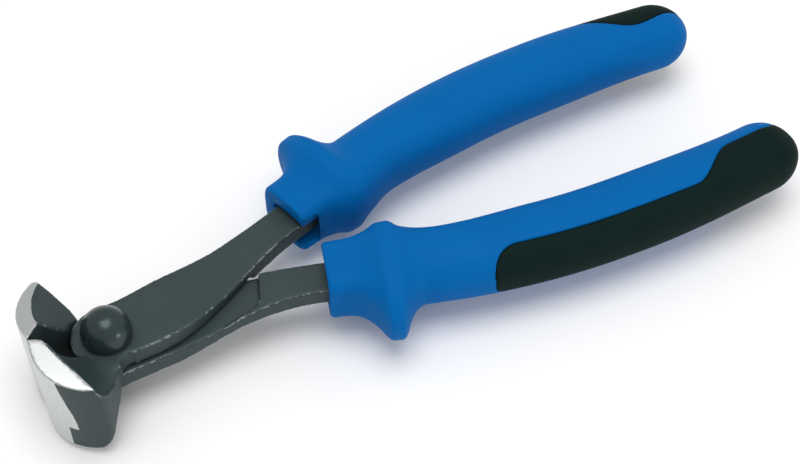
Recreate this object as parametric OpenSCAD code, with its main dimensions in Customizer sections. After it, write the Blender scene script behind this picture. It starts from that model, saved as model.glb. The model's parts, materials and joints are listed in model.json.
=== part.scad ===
// End cutting nippers: two forged levers on one rivet, each with a moulded
// grip sleeve and a soft pad let into the outer side of the sleeve.
// The handles point to +X, the cutting edges run along Z, and the tool lies on Z = 0.

/* [Jaws] */
// Width of the cutting edges
jaw_w = 29.4; // [24:0.2:36]
// Distance from the rivet axis to the cutting edges
edge_x = 17.7; // [15:0.1:20]
// Gap left between the closed cutting edges
edge_gap = 0.4; // [0.2:0.05:0.6]
// Radius of the round front of each jaw
front_r = 14.3; // [14:0.1:15.5]
// Set-back of the front's centre from the cutting edge
front_back = 13.5; // [12:0.1:13.9]
// Length of the inner bevel behind the cutting edge
bevel_len = 2.9; // [2:0.1:3.4]
// Angle of the inner bevel to the parting plane
bevel_a = 24; // [15:1:30]
// Half width of the throat behind the bevel
throat_half = 3.6; // [3:0.1:4.2]
// Radius of the scoop from the jaw's end down to the lever's face
scoop_r = 11; // [9:0.25:12]
// Width of the ground end face at the cutting edge
end_face_w = 2.7; // [2:0.1:3.5]
// Width of the ground end face on the side away from the lever
far_face_w = 2; // [1.4:0.1:3]
// Taper of the jaw's ends away from the cutting edge
end_taper_a = 8; // [4:0.5:12]
// Slope behind the ground end face on the side away from the lever
far_slope_a = 50; // [35:1:65]

/* [Levers] */
// Thickness of one lever at the lapped joint
plate_t = 5; // [4:0.1:6]
// Gap between the lapped faces
lap_gap = 0.3; // [0.2:0.05:0.5]
// Radius of the boss round the rivet
boss_r = 8.8; // [8:0.1:9.2]
// Height of the arm's outer face over the tool's middle plane
arm_face = 2.5; // [2:0.1:3.2]
// Depth of the arm's inner face below the middle plane
tang_drop = 2.2; // [1.5:0.1:3]
// Half width of the arm where it enters the sleeve
tang_half = 4.6; // [4.2:0.1:5.2]
// Half width of the tang at its tip inside the sleeve
tang_tip_half = 3.2; // [2.6:0.1:4]
// Length of the tang inside the sleeve
tang_len = 66; // [45:1:80]
// Reach of the lap recess on the over lever
over_recess_x = 40.5; // [39.5:0.5:43]
// Reach of the lap recess on the under lever
under_recess_x = 37.8; // [37.5:0.1:39]
// Radius of the round end of the lap recess
recess_r = 3.5; // [3:0.25:4]

/* [Rivet] */
// Diameter of the rivet's shank
shank_d = 8; // [6:0.25:9]
// Radius of the domed heads
head_r = 6.1; // [5.5:0.1:7]
// Height of the straight rim under each dome
head_rim_h = 1.6; // [0.6:0.1:2]
// Radius of the small flat on top of each dome
head_flat_r = 1.5; // [0.8:0.1:2.5]
// Radial clearance of the shank in the turning lever
turn_clear = 0.05; // [0.02:0.01:0.09]
// Radial clearance of the shank in the lever that holds it
seat_clear = 0.02; // [0.01:0.01:0.05]
// End play between the turning lever and the rivet's head
end_play = 0.2; // [0.1:0.05:0.4]

/* [Grip sleeves] */
// Distance from the rivet axis to the mouths of the sleeves
mouth_x = 54.6; // [52:0.2:58]
// Half distance between the two sleeves at their mouths
mouth_y = 10.6; // [10:0.1:11.5]
// Sideways offset of the pair of handles from the rivet
handle_shift = 6.4; // [6:0.1:6.8]
// Tilt of the straight front of a sleeve
grip_tilt = 16.7; // [14:0.1:19]
// Length of the straight front of a sleeve
grip_lead = 29; // [26:0.5:36]
// Radius of the first bend
grip_bend_r = 185; // [150:5:240]
// Tilt left after the first bend
grip_tilt_out = 3; // [1:0.25:5]
// Radius of the long bend to the end
grip_end_r = 360; // [250:10:600]
// Length of a sleeve along its bend, without its round end
grip_len = 120; // [110:1:135]
// Length of the round end
cap_len = 10.3; // [8:0.1:12]
// Half width of the grip
grip_half_w = 10.3; // [9:0.1:11.5]
// Half height of the grip
grip_half_h = 8.8; // [8:0.1:9.5]
// Half width of the waist behind the guard, on the inner side
waist_half_w = 8.5; // [7.5:0.1:9.5]
// Half width at the start of the round end
end_half_w = 9.4; // [8.5:0.1:10]
// Half height at the start of the round end
end_half_h = 8.2; // [7.5:0.1:9]
// Half width of the mouth, outer side
mouth_out = 9; // [8:0.1:10]
// Half width of the mouth, inner side
mouth_in = 7.2; // [6.6:0.1:8]
// Half height of the mouth
mouth_half_h = 7.7; // [7.2:0.1:8.4]

/* [Guards] */
// Distance of the guard's crest from the mouth
guard_s = 15.2; // [13.6:0.2:19]
// Width of the flat band on the crest
guard_crest_w = 4; // [2:0.2:6]
// Length of the guard's front slope
guard_front = 8.6; // [5:0.2:10]
// Length of the guard's rear slope
guard_rear = 7; // [5:0.2:9]
// Height of the guard on the outer side
guard_out = 10; // [6:0.2:12]
// Height of the guard on the inner side
guard_in = 3.6; // [2:0.2:5]
// Height of the guard on the faces
guard_face = 3.2; // [1:0.2:4]

/* [Fit of sleeve and tang] */
// Clearance between tang and sleeve
tang_clear = 0.1; // [0.05:0.01:0.2]
// Wider clearance at the mouth
mouth_clear = 0.9; // [0.5:0.05:1.1]
// Room left under the tang at the mouth
mouth_drop = 3; // [1.5:0.1:3.4]
// Depth of the wider mouth
mouth_depth = 9; // [6:0.5:12]
// Depth of the notch in the inner wall at the mouth
notch_len = 7; // [4:0.25:8]
// Height of that notch
notch_h = 10.4; // [8:0.2:11]

/* [Soft pads] */
// Distance from the mouth to the front of the pad
pad_s = 40; // [36:0.5:48]
// Offset of the pad's edge from the sleeve's middle line
pad_edge = 4.6; // [3:0.1:6]
// Radius of the pad's front corner
pad_front_r = 7; // [5:0.25:9]
// Depth of the pad
pad_depth = 2.2; // [1.5:0.1:3]
// Distance from the mouth to where the pad starts to sweep across
sweep_s = 96; // [90:0.5:102]
// Length of that sweep
sweep_len = 15; // [10:0.5:18]
// Offset of the pad's edge after the sweep, past the middle line
sweep_edge = 2.4; // [1:0.1:4]
// Distance from the mouth to where the pad reaches furthest across the other face
dip_s = 115; // [110:0.5:118]
// Offset of the pad's edge from the middle line there
dip_edge = 1; // [0:0.1:4]
// Gap at the bond between pad and sleeve
bond_gap = 0.08; // [0.04:0.01:0.15]

/* [Hidden] */
$fn = 64;
// Overrun of every cut
over = 40;
jaw_half = jaw_w / 2;
// Narrow land left on the cutting edge
edge_land = 0.2;
edge = [-edge_x, -edge_gap / 2];
front_c = edge + [front_back - edge_land, -sqrt(pow(front_r, 2) - pow(front_back, 2))];
// Running clearance between a jaw's hollow and the other lever's boss
boss_clear = 0.5;
hollow_r = boss_r + boss_clear;
// Widest opening of the tool, which the jaw's heel is cut back for
open_a = 42;
// Offset of that cut from the rivet, as a share of the hollow's radius
relief_share = 0.985;
// Places on the jaw's back, as shares of the front's radius
over_heel_shares = [[-0.07, -0.755], [-0.155, -0.91], [-0.27, -1.04], [-0.455, -1.26], [-0.7, -1.4]];
under_heel_shares = [[-0.3, -0.52], [-0.38, -0.75], [-0.58, -1.02], [-0.74, -1.19], [-1, -1.26]];
// Places on the web between boss and jaw, as shares of the boss radius
web_shares = [[-1.16, -0.57], [-1.5, -0.6], [-0.07, -1.14], [0.17, -1.09], [0.41, -0.75]];
// Round corner between the jaw's heel and the arm, as shares of the boss radius
corner_shares = [0.32, -1.16];
corner_r_share = 0.34;
// Slope of the ground end face's inner edge to the cutting edge's axis
end_face_a = 18;
far_face_a = 12;
// Depth of the scoop's floor below the lever's face
scoop_dip = 0.7;
// Where the arm starts to narrow and where it is as wide as the tang, as shares of its length
narrow_shares = [0.2, 0.95];
// Where the arm's inner side is drawn in beside the boss, and how far, as shares
inner_shares = [0.3, 0.85];
// How far the arm's outer side is drawn in halfway, as a share
outer_share = 0.08;
// Where the arm's outer face starts to slope inwards and where it levels out, as shares of its length
slope_shares = [0.23, 0.63];
// Where the arm's inner face leaves the middle plane and where it levels out, as shares of its length
drop_shares = [0.33, 0.87];
// Where the lap recess leaves the arm's outer edge, as shares of arm length and boss radius
recess_start_shares = [0.3, 1.12];
// Height of the recess end's centre over the rivet, as a share of its radius
recess_rise_share = 0.57;
// Sideways seat of each tang in its sleeve
over_seat = -0.6;
under_seat = 1.3;
// How much further the over sleeve is pushed on
over_slide = 1.1;
// Radius of the tang's round tip, as a share of its half width
tip_share = 1.05;
arm_steps = 16;
slope_steps = 10;
tang_steps = 16;
sides = 28;
// Squareness of the mouth's section and of the grip's section
mouth_square = 4;
grip_square = 2.2;
// Growth of the guard's slopes
front_power = 2.2;
rear_power = 2.2;
// Where waist and full grip lie along the sleeve, and where it starts to thin, as shares
waist_share = 0.22;
full_share = 0.46;
thin_share = 0.7;
// Rounding of the mouth's rim
rim_round = 0.8;
rim_share = 0.92;
// Stretch at the end over which the pad closes round the lower face
close_shares = [0.975, 1.03];
// Edge of the pad on the round end, lower and upper face, as shares of the half width there
end_shares = [-0.87, 0.82];
// Edge of the pad along the grip on the upper face, as a share of the half width
high_share = 0.87;
// Least share of the half width that the pad's edge keeps at the tip
pole_share = 0.2;
// Spacing of the sleeve's sections
fine_step = 1.3;
coarse_step = 6.5;
cap_steps = 6;
// Steps along the pad's outline
pad_steps = 48;
// Crowding of those steps towards the pad's front
pad_crowd = 1.25;

over_half = 1;
under_half = -1;

function smooth(t) = t <= 0 ? 0 : t >= 1 ? 1 : t * t * (3 - 2 * t);
function mix(a, b, t) = a + (b - a) * t;
function deg(r) = r * 180 / PI;

// Middle line of a sleeve: straight, then two bends that follow on
bend_len = grip_bend_r * (grip_tilt - grip_tilt_out) * PI / 180;
s_bend = grip_lead;
s_long = grip_lead + bend_len;
function heading(s) =
    s <= s_bend ? grip_tilt
    : s <= s_long ? grip_tilt - deg((s - s_bend) / grip_bend_r)
    : grip_tilt_out - deg((s - s_long) / grip_end_r);
function turned(r, a, b) = r * [sin(a) - sin(b), cos(b) - cos(a)];
function spot(s, half) =
    [mouth_x, mouth_y + half * handle_shift]
    - (half == over_half ? over_slide : 0) * [cos(grip_tilt), sin(grip_tilt)]
    + min(s, s_bend) * [cos(grip_tilt), sin(grip_tilt)]
    + (s > s_bend ? turned(grip_bend_r, grip_tilt, heading(min(s, s_long))) : [0, 0])
    + (s > s_long ? turned(grip_end_r, grip_tilt_out, heading(s)) : [0, 0]);
function beside(s, d, half) = spot(s, half) + d * [-sin(heading(s)), cos(heading(s))];

// Sections of the sleeve
function guard(s) =
    let (f = guard_s - guard_crest_w / 2 - s, r = s - guard_s - guard_crest_w / 2)
    f > 0 ? pow(max(0, 1 - f / guard_front), front_power)
    : r > 0 ? pow(max(0, 1 - r / guard_rear), rear_power) : 1;
function grown(s, mouth, waist, full, end) =
    s < waist_share * grip_len ? mix(mouth, waist, smooth(s / (waist_share * grip_len)))
    : s < thin_share * grip_len
        ? mix(waist, full, smooth((s / grip_len - waist_share) / (full_share - waist_share)))
    : mix(full, end, smooth((s / grip_len - thin_share) / (1 - thin_share)));
function rounding(s, len) =
    s < rim_round ? mix(rim_share, 1, sqrt(max(0, s / rim_round)))
    : s > grip_len ? sqrt(max(0, 1 - pow((s - grip_len) / len, 2))) : 1;
function half_out(s) = grown(s, mouth_out, grip_half_w, grip_half_w, end_half_w) + guard_out * guard(s);
function half_in(s) = grown(s, mouth_in, waist_half_w, grip_half_w, end_half_w) + guard_in * guard(s);
function half_h(s) = grown(s, mouth_half_h, grip_half_h, grip_half_h, end_half_h) + guard_face * guard(s);
function squareness(s) = mix(mouth_square, grip_square, smooth((s - guard_s + guard_front) / guard_front));
function bent(v, p) = sign(v) * pow(abs(v), p);
function section(s, inset, half) =
    let (k = rounding(s, cap_len - inset), p = 2 / squareness(s))
    [for (i = [0 : sides - 1])
        let (
            a = 360 * i / sides,
            w = (cos(a) > 0 ? half_out(s) : half_in(s)) - inset,
            q = beside(s, k * w * bent(cos(a), p), half)
        )
        [q.x, q.y, k * (half_h(s) - inset) * bent(sin(a), p)]];
guard_end = guard_s + guard_crest_w / 2 + guard_rear;
function cap_places(len) = [for (i = [1 : cap_steps]) grip_len + len * sin(88 * i / cap_steps)];
sleeve_places = concat(
    [0, rim_round / 3],
    [for (s = [rim_round : fine_step : guard_end]) s],
    [for (i = [0 : floor((grip_len - guard_end) / coarse_step)])
        mix(guard_end, grip_len, i / floor((grip_len - guard_end) / coarse_step))],
    cap_places(cap_len)
);
core_start = pad_s - pad_front_r;
core_count = floor((grip_len - core_start) / coarse_step);
core_places = concat(
    [for (i = [0 : core_count]) mix(core_start, grip_len, i / core_count)],
    cap_places(cap_len - pad_depth)
);

module loft(places, inset, half) {
    n = len(places);
    points = [for (s = places) each section(s, inset, half)];
    skin = [for (r = [0 : n - 2], i = [0 : sides - 1])
        let (a = r * sides + i, b = r * sides + (i + 1) % sides)
        each [[a, a + sides, b], [b, a + sides, b + sides]]];
    front = [[for (i = [0 : sides - 1]) i]];
    back = [[for (i = [sides - 1 : -1 : 0]) (n - 1) * sides + i]];
    polyhedron(points = points, faces = concat(skin, front, back));
}

// Edge of the pad in plan: on the lower face along the grip, across it and round the end,
// on the upper face low on the outer side with one dip across
function front_curve(f) =
    pad_front_r - sqrt(max(0, pow(pad_front_r, 2) - pow(pad_front_r - min(max(0, f), pad_front_r), 2)));
function end_width(s) = max(pole_share, rounding(s, cap_len));
function low_line(s) =
    let (c = (s / grip_len - close_shares[0]) / (close_shares[1] - close_shares[0]))
    mix(mix(pad_edge, -sweep_edge, smooth((s - sweep_s) / sweep_len)), end_shares[0] * end_half_w, smooth(c));
function high_line(s) =
    s < dip_s ? mix(high_share * grip_half_w, dip_edge, smooth((s - sweep_s) / (dip_s - sweep_s)))
    : mix(dip_edge, end_shares[1] * end_half_w, smooth((s - dip_s) / (grip_len + cap_len - dip_s)));
function pad_line(s, low) = front_curve(s - pad_s) + end_width(s) * (low ? low_line(s) : high_line(s));
pad_last = grip_len + 2 * cap_len;
module pad_outline(gap, half, low) {
    polygon(concat(
        [for (i = [0 : pad_steps])
            let (s = mix(pad_s, pad_last, pow(i / pad_steps, pad_crowd)))
            beside(s - gap, pad_line(s, low) - gap, half)],
        [for (i = [pad_steps : -1 : 0])
            let (s = mix(pad_s, pad_last, pow(i / pad_steps, pad_crowd)))
            beside(s - gap, 2 * grip_half_w, half)]
    ));
}
module pad_column(gap, half) {
    translate([0, 0, -over]) linear_extrude(2 * over) pad_outline(gap, half, false);
    translate([0, 0, -over]) linear_extrude(over + gap) pad_outline(gap, half, true);
}

// Middle line and half width of an arm from the rivet to the tang's tip
function seat(half) = half == over_half ? over_seat : under_seat;
function arm_end(half) = beside(0, seat(half), half);
function arm_mid(t, half) =
    let (e = arm_end(half))
    [t * e.x, e.y * (3 * t * t - 2 * t * t * t) + e.x * tan(grip_tilt) * (t * t * t - t * t)];
function arm_a(t, half) =
    let (e = arm_end(half))
    atan2(e.y * 6 * (t - t * t) + e.x * tan(grip_tilt) * (3 * t * t - 2 * t), e.x);
function arm_half(t) =
    mix(boss_r, tang_half, smooth((t - narrow_shares[0]) / (narrow_shares[1] - narrow_shares[0])));
function side_share(t, sgn) =
    sgn > 0 ? 1 - 4 * outer_share * t * (1 - t) : mix(inner_shares[1], 1, smooth(t / inner_shares[0]));
function tang_width(s) = mix(tang_half, tang_tip_half, s / tang_len);
function arm_side(sgn, half) = concat(
    [for (i = [0 : arm_steps - 1])
        let (t = i / arm_steps, a = arm_a(t, half))
        arm_mid(t, half) + sgn * side_share(t, sgn) * arm_half(t) * [-sin(a), cos(a)]],
    tang_side(0, sgn, half, 0)
);
function tang_side(from, sgn, half, grow) =
    [for (i = [0 : tang_steps])
        let (s = mix(from, tang_len, i / tang_steps))
        beside(s, seat(half) + sgn * (tang_width(s) + grow), half)];
function back_order(list) = [for (i = [len(list) - 1 : -1 : 0]) list[i]];
module arm_outline(half) {
    polygon(concat(arm_side(1, half), back_order(arm_side(-1, half))));
    translate(beside(tang_len, seat(half), half)) circle(tip_share * tang_tip_half);
}
// Lap recess: round at its end, its outer side slanting out to the arm's edge
module recess_outline(half) {
    x = (half == over_half ? over_recess_x : under_recess_x) - recess_r;
    y = recess_rise_share * recess_r;
    polygon(concat(
        [[-over, over / 2]],
        [[recess_start_shares[0] * mouth_x, recess_start_shares[1] * boss_r]],
        [for (a = [75 : -15 : 15]) [x + recess_r * cos(a), y + recess_r * sin(a)]],
        [[x + 2 * recess_r, -2 * recess_r], [x + 2 * recess_r, -over], [-over, -over]]
    ));
}

// Plan of the jaw, drawn on the -Y side; the throat lies behind the cutting edge
bevel_end = edge + bevel_len * [cos(bevel_a), -sin(bevel_a)];
function heel(half) = [for (p = (half == over_half ? over_heel_shares : under_heel_shares)) front_r * p];
module jaw_outline(half) {
    intersection() {
        translate(front_c) circle(front_r);
        polygon(concat(
            [edge],
            half == over_half
                ? [bevel_end, [bevel_end.x + bevel_len / 2, -throat_half]]
                : [[edge.x + throat_half, -throat_half]],
            [[0, -throat_half]],
            heel(half),
            [[-over, -over], [-over, edge.y]]
        ));
    }
}
// Half plane that the other lever's arm sweeps at the widest opening
module heel_relief() {
    rotate(-open_a) translate([0, -relief_share * hollow_r]) square_at([over, over]);
}
module square_at(size) {
    polygon([[0, 0], [size.x, 0], [size.x, size.y], [0, size.y]]);
}
module web_outline(half) {
    web = [for (p = web_shares) boss_r * p];
    intersection() {
        translate(front_c) circle(front_r);
        polygon(concat([[0, 0], web[0], web[1]], back_order(heel(half)), [web[2]]));
    }
    polygon([[0, 0], web[2], web[3], web[4]]);
}
// Plan of the lapped plate: boss, arm and web, with a round corner at the heel
module plate_outline(half) {
    difference() {
        union() {
            circle(boss_r);
            arm_outline(half);
            web_outline(half);
        }
        translate(boss_r * corner_shares) circle(corner_r_share * boss_r);
    }
}
// Scoop from the ground end face down to the lever's face
module scoop() {
    floor_z = plate_t - scoop_dip;
    deep = floor_z + scoop_r;
    translate([edge.x + end_face_w, edge.y, 0]) rotate(end_face_a) {
        translate([scoop_r, 0, deep]) rotate([90, 0, 0]) cylinder(r = scoop_r, h = 2 * over, center = true);
        translate([scoop_r, -over, floor_z]) cube([over, 2 * over, over]);
        translate([0, -over, deep]) cube([over, 2 * over, over]);
    }
}
// Slope behind the end face on the far side
module far_slope() {
    translate([edge.x + far_face_w, edge.y, -jaw_half]) rotate(far_face_a) rotate([0, -far_slope_a, 0])
        translate([0, -over, -over]) cube([over, 2 * over, over]);
}
// The jaw's ends draw in away from the cutting edge
module end_taper() {
    drop = over * tan(end_taper_a);
    translate([-over, 0, 0]) rotate([90, 0, 90]) linear_extrude(2 * over)
        polygon([
            [edge.y, jaw_half], [edge.y - over, jaw_half - drop],
            [edge.y - over, drop - jaw_half], [edge.y, -jaw_half]
        ]);
}
module jaw(half) {
    intersection() {
        end_taper();
        union() {
            difference() {
                translate([0, 0, lap_gap / 2]) linear_extrude(jaw_half) jaw_outline(half);
                scoop();
            }
            difference() {
                translate([0, 0, -jaw_half]) linear_extrude(jaw_half + lap_gap / 2) difference() {
                    jaw_outline(half);
                    circle(hollow_r);
                    heel_relief();
                }
                far_slope();
            }
        }
    }
}
// Side view of the arm: level over the boss, then both faces slope to the tang
module arm_side_view() {
    translate([0, over, 0]) rotate([90, 0, 0]) linear_extrude(2 * over)
        polygon(concat(
            [[-over, 0], [-over, plate_t]],
            [for (i = [0 : slope_steps])
                let (t = i / slope_steps)
                [mix(slope_shares[0], slope_shares[1], t) * mouth_x, mix(plate_t, arm_face, smooth(t))]],
            [[mouth_x + 2 * tang_len, arm_face], [mouth_x + 2 * tang_len, -tang_drop]],
            [for (i = [slope_steps : -1 : 0])
                let (t = i / slope_steps)
                [mix(drop_shares[0], drop_shares[1], t) * mouth_x, -tang_drop * smooth(t)]]
        ));
}
module lever(half, clear) {
    difference() {
        union() {
            intersection() {
                arm_side_view();
                union() {
                    translate([0, 0, lap_gap / 2]) linear_extrude(plate_t - lap_gap / 2) plate_outline(half);
                    translate([0, 0, -2 * tang_drop]) linear_extrude(2 * tang_drop + plate_t) difference() {
                        arm_outline(half);
                        recess_outline(half);
                    }
                }
            }
            jaw(half);
        }
        cylinder(d = shank_d + 2 * clear, h = 2 * over, center = true);
    }
}

module dome() {
    rim_top = plate_t + head_rim_h;
    translate([0, 0, plate_t]) cylinder(r = head_r, h = head_rim_h);
    intersection() {
        translate([0, 0, rim_top]) sphere(r = head_r);
        translate([0, 0, rim_top]) cylinder(r = head_r, h = sqrt(pow(head_r, 2) - pow(head_flat_r, 2)));
    }
}

// Room for the tang in the sleeve, wider at the mouth, with a notch in the inner wall
module tang_room(grow, drop, from, to, half) {
    n = tang_steps;
    places = [for (i = [0 : n]) mix(from, to, i / n)];
    outer = [for (s = places) beside(s, seat(half) + tang_width(max(0, s)) + grow, half)];
    inner = [for (s = places) beside(s, seat(half) - tang_width(max(0, s)) - grow, half)];
    translate([0, 0, -tang_drop - drop]) linear_extrude(tang_drop + drop + arm_face + grow)
        polygon(concat(outer, back_order(inner)));
}
module sleeve_cut(half) {
    tang_room(tang_clear, tang_clear, -mouth_depth, tang_len, half);
    tang_room(mouth_clear, mouth_drop, -mouth_depth, mouth_depth, half);
    translate([0, 0, -tang_drop - tang_clear]) linear_extrude(tang_drop + arm_face + 2 * tang_clear)
        translate(beside(tang_len, seat(half), half)) circle(tip_share * tang_tip_half + tang_clear);
    translate(concat(spot(0, half), -notch_h / 2)) rotate(grip_tilt)
        translate([-over, -over, 0]) cube([over + notch_len, over + seat(half) - tang_half / 2, notch_h]);
}
module sleeve(half) {
    difference() {
        loft(sleeve_places, 0, half);
        sleeve_cut(half);
        difference() {
            pad_column(bond_gap, half);
            loft(core_places, pad_depth + bond_gap, half);
        }
    }
}
module inlay(half) {
    difference() {
        intersection() {
            loft(sleeve_places, 0, half);
            pad_column(0, half);
        }
        loft(core_places, pad_depth, half);
    }
}

// The origin: middle of the tool's box, on the surface that it lies on
over_points = [for (s = sleeve_places) each section(s, 0, over_half)];
under_points = [for (s = sleeve_places) each section(s, 0, under_half)];
x_max = max([for (p = concat(over_points, under_points)) p.x]);
x_min = front_c.x - front_r;
y_max = max([for (p = over_points) p.y]);
y_min = -max([for (p = under_points) p.y]);
origin = [-(x_min + x_max) / 2, -(y_min + y_max) / 2, jaw_half];
module upright() { translate(origin) children(); }
module turned_over() { translate(origin) rotate([180, 0, 0]) children(); }

module over_lever() {
    color("darkslategray") upright() lever(over_half, seat_clear);
}
module under_lever() {
    color("darkslategray") turned_over() lever(under_half, turn_clear);
}
module pivot_rivet() {
    low = plate_t + end_play;
    color("dimgray") upright() {
        translate([0, 0, -low]) cylinder(d = shank_d, h = low + plate_t);
        dome();
        translate([0, 0, -end_play]) rotate([180, 0, 0]) dome();
    }
}
module over_sleeve() {
    color("royalblue") upright() sleeve(over_half);
}
module under_sleeve() {
    color("royalblue") turned_over() sleeve(under_half);
}
module over_inlay() {
    color("black") upright() inlay(over_half);
}
module under_inlay() {
    color("black") turned_over() inlay(under_half);
}

over_lever();
under_lever();
pivot_rivet();
over_sleeve();
under_sleeve();
over_inlay();
under_inlay();
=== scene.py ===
"""Models the levers, rivet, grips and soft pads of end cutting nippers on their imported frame."""

import json
import math

import bmesh
import bpy
from bpy.props import FloatProperty, FloatVectorProperty, IntProperty, PointerProperty
from mathutils import Matrix, Vector


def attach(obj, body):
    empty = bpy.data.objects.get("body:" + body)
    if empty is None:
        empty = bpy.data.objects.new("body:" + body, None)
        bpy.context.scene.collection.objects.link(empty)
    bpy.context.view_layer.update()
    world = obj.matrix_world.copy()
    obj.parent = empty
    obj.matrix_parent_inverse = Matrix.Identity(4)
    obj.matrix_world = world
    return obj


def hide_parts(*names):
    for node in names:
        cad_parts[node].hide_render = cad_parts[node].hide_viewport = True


bl_info = {
    "name": "End Cutting Nippers",
    "version": (1, 0, 0),
    "blender": (4, 5, 0),
    "location": "3D View > Sidebar > Nippers",
    "description": "Models the levers, rivet, grips and soft pads of end cutting nippers",
    "category": "Add Mesh",
}

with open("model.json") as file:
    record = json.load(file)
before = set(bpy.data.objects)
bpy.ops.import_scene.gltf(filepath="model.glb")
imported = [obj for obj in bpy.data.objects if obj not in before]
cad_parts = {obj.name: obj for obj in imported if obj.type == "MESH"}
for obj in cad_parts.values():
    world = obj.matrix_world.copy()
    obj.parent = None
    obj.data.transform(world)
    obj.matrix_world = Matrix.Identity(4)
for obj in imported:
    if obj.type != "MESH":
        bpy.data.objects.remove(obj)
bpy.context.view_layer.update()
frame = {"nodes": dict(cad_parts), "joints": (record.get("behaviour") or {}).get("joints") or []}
# The rivet's axis crosses the lap of the two levers here
PIVOT = Vector(frame["joints"][0]["pos_m"])
# The under half is the over half's frame turned half round about X
HALVES = {"over": 1, "under": -1}
MM = 0.001
# Corners closer than this are one corner
MERGE_DIST = 1e-6
# Width of the camera's sensor, in mm
SENSOR_W = 36
# Spacing of the rows of faces along a grip
GUARD_STEP = 0.3 * MM
WAIST_STEP = 1.2 * MM
BODY_STEP = 1.6 * MM
SWEEP_STEP = 0.8 * MM
# Step of the search for the place where the pad starts
SEARCH_STEP = 0.02 * MM
# Rows from the bottom of the tang's room to the mouth's rim
RIM_ROWS = 6
# Rows from there to the guard, and how fast their spacing grows
MOUTH_ROWS = 22
MOUTH_GROWTH = 1.6
# Rows on the pad's front corner, and on the round end, where they stop just before the pole
NOSE_ROWS = 26
CAP_ROWS = 26
CAP_ANGLE = math.pi / 2 - 0.03
# Places of the rows on a seam's lip, from the seam on, and how fast the lip falls into the seam
LIP_SHARES = (0.0, 0.4, 1.0)
LIP_ROWS = len(LIP_SHARES) - 1
LIP_GROWTH = 2.4
# The most that a lip takes of a narrow strip
LIP_LIMIT = 0.2


def length(name, description, millimetres):
    """A length property, given in millimetres and kept in metres."""
    return FloatProperty(
        name=name, description=description, default=millimetres * MM, unit="LENGTH", precision=5,
    )


def angle(name, description, degrees):
    """An angle property, given in degrees and kept in radians."""
    return FloatProperty(
        name=name, description=description, default=math.radians(degrees), unit="ROTATION",
    )


def share(name, description, default):
    """A plain factor, share or exponent."""
    return FloatProperty(name=name, description=description, default=default, subtype="FACTOR")


def number(name, description, default):
    """A whole number of faces or passes."""
    return IntProperty(name=name, description=description, default=default)


def spot(name, description, *metres):
    """A place, given in metres."""
    return FloatVectorProperty(
        name=name, description=description, default=metres, subtype="XYZ", unit="LENGTH", size=3,
    )


def wattage(name, description, watts):
    """The power of a light."""
    return FloatProperty(name=name, description=description, default=watts, unit="POWER")


def linear(code):
    """The linear colour of an sRGB hex code."""
    values = [int(code[i:i + 2], 16) / 255 for i in (1, 3, 5)]
    return [v / 12.92 if v <= 0.04045 else ((v + 0.055) / 1.055) ** 2.4 for v in values]


def colour(name, description, code):
    """A colour property, given as an sRGB hex code."""
    return FloatVectorProperty(
        name=name, description=description, default=linear(code), subtype="COLOR", size=3,
    )


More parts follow.
